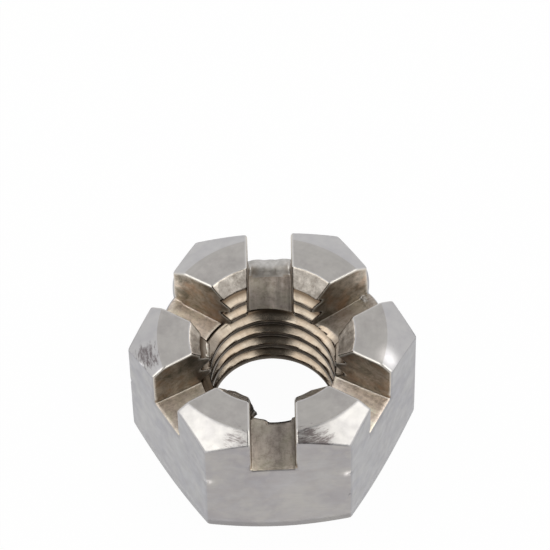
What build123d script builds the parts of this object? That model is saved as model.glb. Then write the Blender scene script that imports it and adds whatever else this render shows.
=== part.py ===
from build123d import *
import math
import os

# A hexagon castle nut in stainless steel: one piece, cut from bar of 17 mm across the flats.
# All sizes are in millimetres. The bearing face lies on Z = 0 and the thread's axis is +Z.

# Bar and overall height
across_flats = 17.0
bar_corner_radius = 0.25
height = 11.7

# Turned ends: a flat ring that ends a little inside the flats, and a cone that cuts the corners
face_inset = 0.7
chamfer_angle = 30.0

# Slots for a cotter pin, each sawn right across the crown through the middles of two opposite flats.
# The disc saw leaves a floor that is deepest at the axis. As on the real nut, the slots are turned a
# little against the flats, in degrees, and cross a little away from the thread's axis.
slot_width = 3.0
slot_depth = 4.2
slot_pairs = 3
slot_turn = -1.6
slot_offset_x = -0.09
slot_offset_y = -0.16
saw_radius = 75.0
slot_edge_radius = 0.15

# Thread: coarse right-hand metric thread, cut right through, with a countersink at each end.
# Its groove crosses the bearing face's level at the start angle, counted from +X.
thread_diameter = 10.0
thread_pitch = 1.5
thread_angle = 60.0
thread_start_angle = 150.0
sink_clearance = 0.6
sink_angle = 76.0

# Flats of the metric profile, as shares of its pitch. The basic crest is a quarter. This one is wider,
# because the usual tapping drill of 8.5 mm leaves it so.
crest_share = 0.3
root_share = 1 / 8

# How far each cutter reaches past the metal, so that its own faces leave no trace
overrun = 1.0

half_angle = math.radians(thread_angle / 2)
thread_depth = thread_pitch * (1 - crest_share - root_share) / 2 / math.tan(half_angle)
bore_diameter = thread_diameter - 2 * thread_depth
sink_diameter = thread_diameter + 2 * sink_clearance
face_radius = across_flats / 2 - face_inset
corner_radius_of_hexagon = across_flats / 2 / math.cos(math.pi / 6)


def saw_rise():
    """How far a slot's floor has risen from the axis to the flats: the sagitta of the saw's arc."""
    return saw_radius - math.sqrt(saw_radius**2 - (across_flats / 2) ** 2)


def turned_blank():
    """Hexagon bar faced to length, with its corners chamfered by a cone at each end."""
    outline = RegularPolygon(across_flats / 2, 6, major_radius=False)
    bar = extrude(fillet(outline.vertices(), bar_corner_radius), height)

    # Half section of the turning that holds the nut: full radius at mid height, a cone at each end
    reach = corner_radius_of_hexagon + overrun
    slope = math.tan(math.radians(chamfer_angle))
    cone_height = (reach - face_radius) * slope
    section = Polyline(
        (0, 0),
        (face_radius, 0),
        (reach, cone_height),
        (reach, height - cone_height),
        (face_radius, height),
        (0, height),
        close=True,
    )
    return bar & revolve(Plane.XZ * make_face(section), Axis.Z)


def cut_slots(blank):
    """Saw the slots and round the edges where they break out at the top, the chamfers and the flats."""
    saw = Pos(0, 0, height - slot_depth + saw_radius) * Rot(0, 90, 0) * Cylinder(saw_radius, slot_width)
    nut = blank
    for number in range(slot_pairs):
        turn = slot_turn + number * 180 / slot_pairs
        nut -= Pos(slot_offset_x, slot_offset_y, 0) * Rot(0, 0, turn) * saw

    def breaks_out(edge):
        middle = edge.center()
        radius = math.hypot(middle.X, middle.Y)
        above_floor = middle.Z > height - slot_depth + saw_rise() + slot_edge_radius
        return radius > face_radius or (above_floor and radius > bore_diameter / 2)

    return fillet(new_edges(blank, combined=nut).filter_by(breaks_out), slot_edge_radius)


def thread_groove():
    """The helical groove that the tap leaves between two turns of the thread.

    Its section is the 60 degree trapezoid of the metric profile, carried on inwards past the
    crests, so that the bore cuts the crests' true flats.
    """
    bore_radius = bore_diameter / 2
    root_radius = thread_diameter / 2
    inner_radius = bore_radius - thread_depth / 4
    half_root = root_share * thread_pitch / 2
    half_mouth = half_root + (root_radius - inner_radius) * math.tan(half_angle)
    section = Polyline(
        (inner_radius, -half_mouth),
        (root_radius, -half_root),
        (root_radius, half_root),
        (inner_radius, half_mouth),
        close=True,
    )
    path = Helix(thread_pitch, height + 2 * thread_pitch, bore_radius)
    groove = sweep(Plane.XZ * make_face(section), path=path, is_frenet=True)
    return Rot(0, 0, thread_start_angle) * Pos(0, 0, -thread_pitch) * groove


def countersink():
    """Cone that opens the thread's lower end. The upper one is the same, turned over."""
    bore_radius = bore_diameter / 2
    sink_radius = sink_diameter / 2
    slope = math.tan(math.radians(sink_angle / 2))
    depth = (sink_radius - bore_radius) / slope
    section = Polyline(
        (0, -overrun),
        (sink_radius + overrun * slope, -overrun),
        (bore_radius, depth),
        (0, depth),
        close=True,
    )
    return revolve(Plane.XZ * make_face(section), Axis.Z)


def castle_nut():
    """The whole nut: turned, slotted, tapped, bored to the crests and countersunk."""
    nut = cut_slots(turned_blank())
    nut -= thread_groove()
    nut -= Pos(0, 0, height / 2) * Cylinder(bore_diameter / 2, height + 2 * overrun)
    nut -= countersink()
    nut -= Pos(0, 0, height) * Rot(180, 0, 0) * countersink()
    return nut


os.makedirs("parts", exist_ok=True)
export_step(castle_nut(), "parts/castle_nut.step")
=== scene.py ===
# %% [markdown]
# # A castle nut
# The real object is a small hexagon nut of bare stainless steel. Its crown is sawn into six lobes,
# so that a cotter pin through the bolt can lock it. Everything here is one closed surface: hexagon
# bar, turned ends, sawn slots and a tapped hole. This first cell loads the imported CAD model, which
# gives the frame that every piece stays in. The CAD solid would look faceted in polished metal, so
# the surface is worked out again with numpy on a finer grid, and it stands for the solid.

import math

import bpy
import numpy as np
from mathutils import Matrix, Vector


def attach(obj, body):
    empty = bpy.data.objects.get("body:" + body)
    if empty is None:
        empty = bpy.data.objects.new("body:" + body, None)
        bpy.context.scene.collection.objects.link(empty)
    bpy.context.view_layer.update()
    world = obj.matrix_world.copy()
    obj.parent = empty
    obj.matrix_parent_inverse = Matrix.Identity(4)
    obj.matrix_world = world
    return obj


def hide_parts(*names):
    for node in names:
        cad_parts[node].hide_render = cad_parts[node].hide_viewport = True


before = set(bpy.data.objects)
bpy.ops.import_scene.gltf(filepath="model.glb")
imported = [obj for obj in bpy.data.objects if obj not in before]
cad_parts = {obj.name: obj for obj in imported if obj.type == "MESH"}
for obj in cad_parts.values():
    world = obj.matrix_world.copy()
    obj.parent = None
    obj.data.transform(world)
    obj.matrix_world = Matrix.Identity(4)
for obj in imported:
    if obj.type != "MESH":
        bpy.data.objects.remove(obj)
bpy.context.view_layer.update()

# %% [markdown]
# ## The nut as a formula
# Each operation in the workshop leaves a surface, and each surface can be written as one number
# for any point of space: how far the point lies outside the metal. The whole nut is the largest of
# these numbers, and its skin is where that is zero. A plain maximum gives knife edges. Real edges
# are broken by the saw, the tap and the tumbling barrel, so the maximum is blended over a small
# width. A bevel modifier is quicker on a plain box, but it fails where a saw cuts through a
# thread. All sizes are in millimetres, as a machinist thinks, and the mesh is scaled to metres at
# the end.


# %% Blending two distances into one
def larger(a, b, width):
    """The larger of a and b, plus a parabola where they are less than width apart."""
    near = np.clip(width - np.abs(a - b), 0, None)
    return np.maximum(a, b) + near * near / (4 * width)


def smaller(a, b, width):
    """The smaller of a and b, less the same parabola."""
    return -larger(-a, -b, width)


def mix(a, b, t):
    """Values from a to b in the shares t."""
    return a + (b - a) * t


def ease(x, low, high):
    """Rises from 0 at low to 1 at high as 3t^2 - 2t^3, flat at both ends."""
    t = np.clip((x - low) / (high - low), 0, 1)
    return t * t * (3 - 2 * t)


print("blending over 0.1 mm takes", round(float(larger(0.0, 0.0, 0.1)), 4), "mm off an edge")

# %% [markdown]
# ## The bar
# The nut starts as a slice of drawn hexagon bar, 17 mm across its flats. A point lies outside it
# by its distance past the farthest flat. The two farthest are blended, which gives the bar's
# corners their small radius.

# %% The hexagon bar
FLAT = 17.0 / 2
BAR_ROUNDING = 0.14
SIXTH = math.pi / 3


def directions(first, count, step):
    """Unit vectors in plan: the cosine and sine of each angle, counted on from the first one."""
    angle = first + np.arange(count) * step
    return np.stack([np.cos(angle), np.sin(angle)], axis=1)


NORMAL = directions(math.pi / 2, 6, SIXTH)
CORNER = directions(math.pi / 2 + SIXTH / 2, 6, SIXTH) * FLAT / math.cos(SIXTH / 2)


def bar(p):
    """The two farthest of the six distances to the flats, blended."""
    reach = np.sort(p[..., :2] @ NORMAL.T, axis=-1)[..., -2:] - FLAT
    return larger(reach[..., 0], reach[..., 1], BAR_ROUNDING)


print("the corners lie", round(float(np.hypot(*CORNER[0])), 3), "mm from the axis")

# %% [markdown]
# ## The turned ends
# A lathe faces both ends and turns a cone of 30 degrees there, which cuts the hexagon's corners in
# the curves that every nut shows. Those curves needn't be drawn: they appear where cone and flats
# meet.

# %% Faces and chamfers
HEIGHT = 11.7
FACE_RADIUS = FLAT - 0.7
CHAMFER_SLOPE = math.tan(math.radians(30))
ROUNDING = 0.1


def turned(p):
    """Distance past the two end faces, blended with that past the chamfer cone at each end."""
    r = np.hypot(p[..., 0], p[..., 1])
    rise = (r - FACE_RADIUS) * CHAMFER_SLOPE
    square = 1 / math.hypot(1, CHAMFER_SLOPE)
    crown = larger(p[..., 2] - HEIGHT, (p[..., 2] - HEIGHT + rise) * square, ROUNDING)
    foot = larger(-p[..., 2], (rise - p[..., 2]) * square, ROUNDING)
    return np.maximum(crown, foot)


print("the faces end", round(FACE_RADIUS, 2), "mm from the axis")

# %% [markdown]
# ## The slots
# Three passes of a disc saw leave six half slots, so each floor is an arc of the disc, lowest in
# the middle. On this nut the saw ran a little beside the axis and a little turned. Boxes cut out
# with a Boolean modifier would have flat floors and leave ragged cells in the thread, so the slots
# are distances too: to the nearest wall, and to the floor's arc. Half slot 0 is the one at the
# back, and they are counted by the left to the front and on by the right.

# %% Walls and floors
SLOT_HALF = 1.5
SLOT_BOTTOM = HEIGHT - 4.2
SLOT_TURN = math.radians(-1.6)
SLOT_CENTRE = np.array([-0.09, -0.16])
SAW_RADIUS = 75.0
ALONG = directions(math.pi / 2 + SLOT_TURN, 6, SIXTH)
ACROSS = directions(math.pi + SLOT_TURN, 6, SIXTH)


def floor_height(along):
    """Height of a sawn floor: the disc's arc, lowest at the nut's middle."""
    return SLOT_BOTTOM + SAW_RADIUS - np.sqrt(SAW_RADIUS**2 - along**2)


def slot_places(p):
    """Each point's place in the frames of the three slots: along, across, and the floor below."""
    plan = p[..., :2] - SLOT_CENTRE
    along = plan @ ALONG[:3].T
    return along, plan @ ACROSS[:3].T, floor_height(along)


def sawn(p):
    """How far a point lies inside a slot: the smaller of its distances to wall and floor."""
    _, across, floor = slot_places(p)
    return smaller(SLOT_HALF - np.abs(across), p[..., 2:3] - floor, ROUNDING).max(-1)


print("floors at axis and flats:", floor_height(np.array([0, FLAT])).round(2), "mm")

# %% [markdown]
# ## The thread
# An M10 tap leaves a groove that climbs 1.5 mm in each turn. At any point the groove's height is
# the angle round the axis, as a share of a turn, times the pitch. So the helix needs no sweep: it
# is enough to know how far the nearest turn of the groove is, up or down. The profile is the
# metric trapezoid, with the wide crests that the usual drill of 8.5 mm leaves.

# %% The groove's profile and helix
PITCH = 1.5
FLANK_ANGLE = math.radians(30)
FLANK_SLOPE = math.tan(FLANK_ANGLE)
ROOT_RADIUS = 5.0
ROOT_HALF = PITCH / 16
MOUTH_HALF = PITCH * 0.35
CREST_RADIUS = ROOT_RADIUS - (MOUTH_HALF - ROOT_HALF) / FLANK_SLOPE
THREAD_START = math.radians(150)


def groove_height(p):
    """Height above or below the nearest groove's middle; the helix rises a pitch each turn."""
    angle = np.arctan2(p[..., 1], p[..., 0]) - THREAD_START
    turns = p[..., 2] / PITCH - angle / (2 * math.pi)
    return np.abs(turns - np.round(turns)) * PITCH


print("the crests are", round(CREST_RADIUS, 3), "mm from the axis")

# %% [markdown]
# ## Where the thread broke
# The saw left thin bits of thread at the slots. The lip between floor and groove at the back on
# the right broke away to a slope, and below the front slot one bit stands and another is lost.
# Each flaw says whether metal was lost or left, the hole's radius there at a list of angles in
# degrees, how fast it shrinks below the floor, and the middle and half of its range of heights.

# %% Flaws of the thread
LOST, LEFT = np.maximum, np.minimum
FLAWS = [
    (LOST, [6, 9, 12, 20, 26, 33, 36, 41, 45, 48],
     [4.2, 4.5, 4.9, 5.0, 4.95, 4.84, 4.8, 4.66, 4.45, 4.2], 1.5, 7.6, 0.45),
    (LEFT, [246.8, 248, 260, 261.2], [4.7, 4.22, 4.22, 4.7], 0.0, 7.55, 0.15),
    (LOST, [261.8, 263, 284, 285.2], [4.2, 4.52, 4.52, 4.2], 0.0, 7.5, 0.25),
]
THREAD_LIP = 0.14
FLAW_FADE = 0.06


def window(x, half, soft):
    """1 while x is within half of zero, and falls to 0 over the soft width outside that."""
    return ease(half + soft - np.abs(x), 0, soft)


def flawed(p, r, whole):
    """A value of the whole thread, r of a radius, moved to the flaws' radii in their places."""
    angle = np.degrees(np.arctan2(p[..., 1], p[..., 0])) % 360
    below = np.clip(SLOT_BOTTOM + THREAD_LIP - p[..., 2], 0, None)
    for pick, angles, radii, slope, height, half in FLAWS:
        inside = window(p[..., 2] - height, half, FLAW_FADE)
        inside = inside * (angle > angles[0]) * (angle < angles[-1])
        there = r(np.interp(angle, angles, radii) - slope * below)
        whole = mix(whole, pick(whole, there), inside)
    return whole


print("flaws between", [(angles[0], angles[-1]) for _, angles, *_ in FLAWS], "degrees")

# %% [markdown]
# ## The hole
# The hole is whatever the drill, the tap or a countersink took away. That is the largest of the
# distances into the cylinder within the crests, into the groove, and into the cone at either end.

# %% The tapped and countersunk hole
SINK_RADIUS = 5.6
SINK_SLOPE = math.tan(math.radians(38))
ROOT_ROUNDING, CREST_ROUNDING, SINK_ROUNDING = 0.12, 0.09, 0.06


def cones(p):
    """How far a point lies inside the countersink at the crown, and inside the one at the foot."""
    r = np.hypot(p[..., 0], p[..., 1])
    square = 1 / math.hypot(1, SINK_SLOPE)
    top = (SINK_RADIUS - (HEIGHT - p[..., 2]) * SINK_SLOPE - r) * square
    return top, (SINK_RADIUS - p[..., 2] * SINK_SLOPE - r) * square


def tapped(p):
    """How far a point lies inside the hole.

    The groove is the smaller of the distances to its root and to its flanks.
    """
    r = np.hypot(p[..., 0], p[..., 1])
    flank = ROOT_HALF + (ROOT_RADIUS - r) * FLANK_SLOPE - groove_height(p)
    groove = smaller(ROOT_RADIUS - r, flank * math.cos(FLANK_ANGLE), ROOT_ROUNDING)
    hole = flawed(p, lambda left: left - r, larger(CREST_RADIUS - r, groove, CREST_ROUNDING))
    top, foot = cones(p)
    return larger(larger(hole, top, SINK_ROUNDING), foot, SINK_ROUNDING)


print("on the axis:", round(float(tapped(np.array([0.0, 0.0, 5.0]))), 2), "mm into the hole")

# %% [markdown]
# ## Burrs and dents
# A saw pushes metal ahead of it, so burrs stand where it ran out of the nut, and knocks leave
# dents in the corners. Sculpted by hand, they would be lost when the grid changes. Here they are
# eggs that are joined to the metal or taken out of it. Each has the angle at which it lies, its
# place out, aside and up from the axis there, and its three half axes. A burr's last number is how
# light its torn metal is. Those with 0 were only pushed up, and keep the finish that they had.

# %% Eggs
BURRS = [
    # The two eggs of the front slot's tooth have their torn metal painted dark at 0.45, as shade.
    (268.4, (4.42, -1.75, 8.66), (0.34, 0.66, 0.42), 0.45),
    (268.4, (4.42, -1.75, 9.05), (0.3, 0.42, 1.0), 0.45),
    (28.4, (8.25, 0.7, 7.86), (0.5, 1.4, 0.31), 0.0),
    (28.4, (8.05, 1.15, 8.0), (0.2, 0.45, 0.2), 0.92),
    (28.4, (8.28, 1.68, 8.85), (0.46, 0.32, 2.25), 0.0),
    (148.4, (8.2, -0.9, 7.84), (0.46, 1.3, 0.29), 0.0),
    (148.4, (8.28, -1.66, 8.7), (0.49, 0.32, 2.35), 0.0),
    (88.4, (7.95, 0.9, 7.97), (0.55, 1.05, 0.3), 1.02),
    (88.4, (7.93, 0.0, 7.95), (0.57, 1.0, 0.3), 1.02),
    (88.4, (7.95, -0.9, 8.0), (0.55, 1.05, 0.33), 1.02),
]
DENTS = [
    (240, (9.97, 0.0, 6.6), (0.34, 0.34, 0.3)),
    (300, (9.97, 0.0, 6.9), (0.34, 0.4, 0.26)),
    (300, (9.99, 0.0, 4.2), (0.3, 0.4, 0.2)),
    (180, (9.97, 0.0, 6.6), (0.28, 0.3, 0.22)),
]


def egg(p, angle, place, size):
    """Distance outside an egg: its reach in half axes, less 1, times the shortest of them.

    Its place and axes are out from the nut's axis at an angle in degrees, aside from that and up.
    """
    turn = math.radians(angle)
    out = p[..., 0] * math.cos(turn) + p[..., 1] * math.sin(turn)
    aside = p[..., 1] * math.cos(turn) - p[..., 0] * math.sin(turn)
    axes = zip((out, aside, p[..., 2]), place, size)
    reach = [(x - middle) / half for x, middle, half in axes]
    return (np.sqrt(sum(x * x for x in reach)) - 1) * min(size)


def burrs(p):
    """Distance outside each of the burrs."""
    return np.stack([egg(p, angle, place, size) for angle, place, size, _ in BURRS])


print(len(BURRS), "eggs for burrs and", len(DENTS), "for dents")

# %% [markdown]
# ## The whole nut
# The distances come together in the order of the work: bar, ends, hole, slots, dents, burrs. The
# saw's edges on the walls are fine, and the lips where it ran out are wide. The lip at the back of
# the nut has a wide fillet at its inner foot.

# %% The whole nut
EDGE_WIDTH, MORE_ON_LIPS = 0.23, 0.17
LIP_RADII, LIP_HEIGHTS = (7.6, 8.3), (0.9, 0.3)
BURR_BLEND, FILLET = 0.08, 0.3
FILLET_RISES, FILLET_FALLS = (6.6, 7.0), (7.8, 8.2)


def edge_width(p):
    """Blend width of the sawn edges, which grows towards the floors' outer ends."""
    r = np.hypot(p[..., 0], p[..., 1])
    level = floor_height(r)
    top, bottom = (level + above for above in LIP_HEIGHTS)
    return EDGE_WIDTH + MORE_ON_LIPS * ease(r, *LIP_RADII) * ease(p[..., 2], top, bottom)


def unsawn(p):
    """Distance outside the turned and tapped bar."""
    return larger(larger(bar(p), turned(p), ROUNDING), tapped(p), ROUNDING)


def bare_nut(p):
    """Distance outside the metal without its burrs."""
    body = larger(unsawn(p), sawn(p), edge_width(p))
    for angle, place, size in DENTS:
        body = larger(body, -egg(p, angle, place, size), BURR_BLEND)
    return body


def nut(p):
    """Distance outside the metal with its burrs."""
    at_lip = ease(p[..., 1], *FILLET_RISES) * (1 - ease(p[..., 1], *FILLET_FALLS))
    return smaller(bare_nut(p), burrs(p).min(0), mix(BURR_BLEND, FILLET, at_lip))


def direction_of(distance, p, step=0.004):
    """Direction in which a distance grows fastest, from its differences over a step each way."""
    shifts = np.eye(3) * step
    return np.stack([distance(p + s) - distance(p - s) for s in shifts], axis=-1) / (2 * step)


def unit_outward(p):
    """Unit vectors straight out of the metal."""
    way = direction_of(nut, p)
    return way / np.linalg.norm(way, axis=1, keepdims=True)


samples = np.array([[0.0, 0.0, 5.0], [0.0, -7.0, 3.0], [0.0, -9.0, 3.0]])
print("hole, metal, air:", nut(samples).round(2))

# %% [markdown]
# ## A grid that follows the nut
# A surface that is found on an even grid would cut every edge into steps. This grid is laid out
# the way the nut is made: its lines in plan run from the hole to the flats. Across a slot they lie
# side by side along the saw's path, and over a lobe they fan out towards the corner. Each line
# carries a profile, which goes up the thread, over the crown, down the flat and back under the
# nut.


# %% Where a plan line meets the flats and the hole
TINY = 1e-6


def exit_point(start, unit):
    """Where a line in plan leaves the hexagon: the nearest flat that it runs towards."""
    speed = unit @ NORMAL.T
    room = FLAT - start @ NORMAL.T
    distance = np.where(speed > TINY, room / np.maximum(speed, TINY), np.inf).min(-1)
    return start + unit * distance[..., None]


def ring_point(start, unit, radius):
    """Where a line in plan crosses a circle: its foot plus the rest of the right triangle."""
    foot = start - (start * unit).sum(-1, keepdims=True) * unit
    return foot + unit * np.sqrt(radius**2 - (foot**2).sum(-1, keepdims=True))


print("the back slot's middle line leaves at", exit_point(SLOT_CENTRE, ALONG[0]).round(2))

# %% Plan lines across the slots and over the lobes
ACROSS_SLOT = 20
EVENLY = 0.45
BESIDE_WALL = np.array([0, 0.04, 0.08, 0.12, 0.17, 0.24, 0.34])
FAN = 20
FAN_RADIUS = 4.4
FAN_CROWDING = 1.5


def slot_lines(count):
    """Offsets across a slot: part even steps, and part a cosine, crowded at the walls."""
    t = np.linspace(0, 1, count + 1)
    return SLOT_HALF * (EVENLY * (2 * t - 1) - (1 - EVENLY) * np.cos(math.pi * t))


def lobe_lines(k):
    """Start and direction of the lines over the lobe between half slots k and k + 1.

    Beside each wall the lines are parallel to it. Between them the inner ends are spread evenly in
    angle round the hole, and the outer ends by length along the flats, crowded towards the corner.
    """
    n = (k + 1) % 6
    left = SLOT_CENTRE + (SLOT_HALF + BESIDE_WALL)[:, None] * ACROSS[k]
    right = SLOT_CENTRE - (SLOT_HALF + BESIDE_WALL[::-1])[:, None] * ACROSS[n]
    border, ways = np.stack([left[-1], right[0]]), np.stack([ALONG[k], ALONG[n]])
    inner, outer = ring_point(border, ways, FAN_RADIUS), exit_point(border, ways)
    t = np.linspace(-1, 1, FAN + 1)[1:-1, None]
    angle = np.unwrap(np.arctan2(inner[:, 1], inner[:, 0]))
    turn = (angle[0] + (angle[1] - angle[0]) * (t + 1) / 2)[:, 0]
    ends = np.where(t < 0, outer[0], outer[1])
    away = CORNER[k] + (ends - CORNER[k]) * np.abs(t) ** FAN_CROWDING
    start = FAN_RADIUS * np.stack([np.cos(turn), np.sin(turn)], axis=1)
    fan = away - start
    fan /= np.linalg.norm(fan, axis=1, keepdims=True)
    beside = [np.repeat(way[None], len(BESIDE_WALL), 0) for way in ways]
    return np.concatenate([left, start, right]), np.concatenate([beside[0], fan, beside[1]])


offsets = slot_lines(ACROSS_SLOT)[:, None]
print(len(offsets), "lines across a slot,", len(lobe_lines(0)[0]), "over a lobe")

# %% [markdown]
# ## What a line knows
# A profile needs to know where its line leaves the hole at each height, where it leaves the
# hexagon, and how high the sawn floor is there. Asking these of a whole fan of lines at once keeps
# the work in numpy, so a line is never handled on its own.


# %% A fan of plan lines
class Lines:
    """A fan of plan lines, each with its foot, the point nearest to the axis, and a direction.

    offset is the square of the foot's distance from the axis. centre and exit are how far along
    the line the slots' centre and the flat lie.
    """

    FIRST_GUESS = 4.5
    ROUNDS = 12

    def __init__(self, start, unit):
        self.unit = unit
        self.foot = start - (start * unit).sum(-1, keepdims=True) * unit
        self.offset = (self.foot**2).sum(-1, keepdims=True)
        self.centre = (unit @ SLOT_CENTRE)[:, None]
        exits = exit_point(self.foot, unit)
        self.exit = ((exits - self.foot) * unit).sum(-1, keepdims=True)

    def at_radius(self, r):
        """Distance along the line at which it is r from the axis."""
        return np.sqrt(r**2 - self.offset)

    def points(self, t, z):
        """Points at distances t along the lines and heights z, by line, row and x, y, z."""
        t, z = np.broadcast_arrays(t, z)
        plan = self.foot[:, None] + t[..., None] * self.unit[:, None]
        return np.concatenate([plan, z[..., None]], axis=-1)

    def hole(self, z):
        """Distance along the line at which it leaves the hole at height z.

        The hole's radius is the largest of the crests, the thread's trapezoid and the two cones.
        It turns with the helix, so it is settled by a few rounds of substitution.
        """
        t = self.at_radius(np.full_like(z + self.offset, self.FIRST_GUESS))
        for _ in range(self.ROUNDS):
            p = self.points(t, z)
            thread = ROOT_RADIUS - (groove_height(p) - ROOT_HALF) / FLANK_SLOPE
            r = flawed(p, lambda left: left, np.clip(thread, CREST_RADIUS, ROOT_RADIUS))
            r = np.maximum(r, SINK_RADIUS - (HEIGHT - z) * SINK_SLOPE)
            t = self.at_radius(np.maximum(r, SINK_RADIUS - z * SINK_SLOPE))
        return t

    def floor(self, t):
        """Height of the sawn floor at a distance along the line."""
        return floor_height(t - self.centre)

    def floor_ends(self):
        """Both ends of the sawn floor as distance and height: at the hole, and at the flat."""
        z = np.full_like(self.exit, SLOT_BOTTOM)
        for _ in range(self.ROUNDS):
            t = self.hole(z)
            z = self.floor(t)
        return t, z, self.exit, self.floor(self.exit)


slots = [Lines(SLOT_CENTRE + offsets * ACROSS[k], np.repeat(ALONG[k : k + 1], len(offsets), 0))
         for k in range(6)]
lobes = [Lines(*lobe_lines(k)) for k in range(6)]
floor_in, _, floor_out, _ = slots[0].floor_ends()
print("a floor is", float((floor_out - floor_in).mean().round(2)), "mm long from hole to flat")

# %% [markdown]
# ## Profiles along the lines
# A profile is a list of points up, over and down one section of the nut. Below the slots every
# line has the same rows, so the lower half is one closed ring of sections. Above them a slot's
# lines carry only the floor, and a lobe's lines go on up the hole, across the crown and down to
# the floor's level. Each wall is the flat patch between the two, and shares its border points with
# them.

# %% Rows of each profile
FLAT_CROWDING, FLOOR_CROWDING = 0.6, 1.4
HOLE_ROWS = np.linspace(0, 1, 89)
FOOT_ROWS = np.linspace(0, 1, 9)
CHAMFER_ROWS = np.linspace(0, 1, 9)
FLAT_ROWS = np.linspace(0, 1, 27) ** FLAT_CROWDING
CROWN_ROWS = np.linspace(0, 1, 25)
WALL_ROWS = np.linspace(0, 1, 45)


def chamfer_row(lines, level):
    """Points on the cone beside the face at a level, out to the flat, and their heights.

    The cone leaves the face's level by its slope times the way out from the face's edge.
    """
    exit_radius = np.sqrt(lines.exit**2 + lines.offset)
    r = mix(FACE_RADIUS, exit_radius, CHAMFER_ROWS[1:])
    z = np.abs(level - (r - FACE_RADIUS) * CHAMFER_SLOPE)
    return lines.points(lines.at_radius(r), z), z


def face_row(lines, shares, level):
    """Points across a turned face, from the countersink to the chamfer."""
    t = mix(lines.at_radius(SINK_RADIUS), lines.at_radius(FACE_RADIUS), shares[1:])
    return lines.points(t, np.full(1, level))


print("a chamfer row is", chamfer_row(lobes[0], HEIGHT)[0].shape, "for lines, rows and x, y, z")


# %% From the floor round and back to the floor
def lower_ring(lines):
    """From the floor's inner end down the hole, out under the nut, and up to the outer end."""
    _, z_in, t_out, z_out = lines.floor_ends()
    z = mix(z_in, 0.0, HOLE_ROWS)
    hole = lines.points(lines.hole(z), z)
    chamfer, z = chamfer_row(lines, 0)
    flat = lines.points(t_out, mix(z[:, -1:], z_out, FLAT_ROWS[1:]))
    return np.concatenate([hole, face_row(lines, FOOT_ROWS, 0.0), chamfer, flat], axis=1)


def lobe_cap(lines):
    """From the floor's level up the hole, across the crown and down chamfer and flat again."""
    _, z_in, t_out, z_out = lines.floor_ends()
    z = mix(z_in, HEIGHT, WALL_ROWS)
    hole = lines.points(lines.hole(z), z)
    chamfer, z = chamfer_row(lines, HEIGHT)
    down = np.linspace(0, 1, len(WALL_ROWS) - len(CHAMFER_ROWS) + 1)[1:]
    flat = lines.points(t_out, mix(z[:, -1:], z_out, down))
    return np.concatenate([hole, face_row(lines, CROWN_ROWS, HEIGHT), chamfer, flat], axis=1)


def slot_floor(lines):
    """Along the saw's arc from the hole to the flat."""
    t_in, _, t_out, _ = lines.floor_ends()
    t = mix(t_in, t_out, 1 - (1 - CROWN_ROWS) ** FLOOR_CROWDING)
    return lines.points(t, lines.floor(t))


print("a lobe's profile has", lobe_cap(lobes[0]).shape[1], "points")


# %% The walls between floors and lobes
def shares_along(row):
    """How far each point of a row has come on the straight way from its first to its last."""
    way = row[-1] - row[0]
    return ((row - row[0]) @ way) / (way**2).sum()


def wall(cap, floor):
    """The flat patch between one border line of a lobe and the floor's line below it.

    Row k runs straight from the cap's k-th point up the hole to its k-th point up the flat, with
    the floor's own curve added, less and less towards the crown.
    """
    rows, cols = len(WALL_ROWS), len(CROWN_ROWS)
    inner, top, outer = cap[:rows], cap[rows - 1 : rows + cols - 1], cap[rows + cols - 2 :][::-1]
    height = np.linspace(0, 1, rows)[:, None, None]
    share = mix(shares_along(floor), shares_along(top), height[..., 0])[..., None]
    sag = floor - mix(floor[0], floor[-1], share[0])
    return mix(inner[:, None], outer[:, None], share) + sag * (1 - height)


print("a wall is a grid of", wall(lobe_cap(lobes[0])[0], slot_floor(slots[0])[-1]).shape[:2])

# %% [markdown]
# ## Joining the patches
# Every patch is a grid of points, so its cells follow from the order of the points. Neighbours
# share their border points exactly, and welding them leaves one closed skin with no seam to hide.


# %% Build and join the patches
def patch(points, closed=False):
    """Points and cells of a grid; a closed grid joins its last line to its first."""
    lines, rows = points.shape[:2]
    index = np.arange(lines * rows).reshape(lines, rows)
    after = np.roll(index, -1, axis=0) if closed else index[1:]
    before = index if closed else index[:-1]
    quads = np.stack([before[:, :-1], after[:, :-1], after[:, 1:], before[:, 1:]], axis=-1)
    return points.reshape(-1, 3), quads.reshape(-1, 4)


def weld(patches, grid=1e-5):
    """One list of points and cells: points that agree to within the grid are one point."""
    counts = np.cumsum([0] + [len(points) for points, _ in patches])
    points = np.concatenate([points for points, _ in patches])
    quads = np.concatenate([quads + first for (_, quads), first in zip(patches, counts)])
    cells = np.round(points / grid)
    _, keep, place = np.unique(cells, axis=0, return_index=True, return_inverse=True)
    return points[keep], place.reshape(-1)[quads]


ring = np.concatenate([lower_ring(lines)[:-1] for pair in zip(slots, lobes) for lines in pair])
patches = [patch(ring, closed=True)]
for k in range(6):
    floor = slot_floor(slots[k])
    cap, cap_before = lobe_cap(lobes[k]), lobe_cap(lobes[k - 1])
    walls = wall(cap[0], floor[-1]), wall(cap_before[-1], floor[0])
    patches += [patch(grid) for grid in (floor, cap, *walls)]
points, quads = weld(patches)
print(len(points), "points,", len(quads), "cells")

# %% [markdown]
# ## Letting the grid settle on the formula
# The patches above have sharp edges. Now every point slides onto the blended surface: it moves
# against the outward direction by its own distance, and a few rounds of this bring it to zero.
# That is Newton's method, and it rounds all edges at once. A burr is too far away for that, so the
# points that it covers are first lifted to its farther side.


# %% Settle the points and turn the cells outwards
def settle(p, distance, rounds, most=0.08, least_slope=0.2):
    """Newton's steps: each point moves by its distance over the slope, never more than most."""
    for _ in range(rounds):
        slope = direction_of(distance, p)
        steepness = (slope**2).sum(-1, keepdims=True)
        move = distance(p)[:, None] * slope / np.maximum(steepness, least_slope)
        length = np.linalg.norm(move, axis=-1, keepdims=True)
        p = p - move * np.minimum(1, most / np.maximum(length, 1e-9))
    return p


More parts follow.
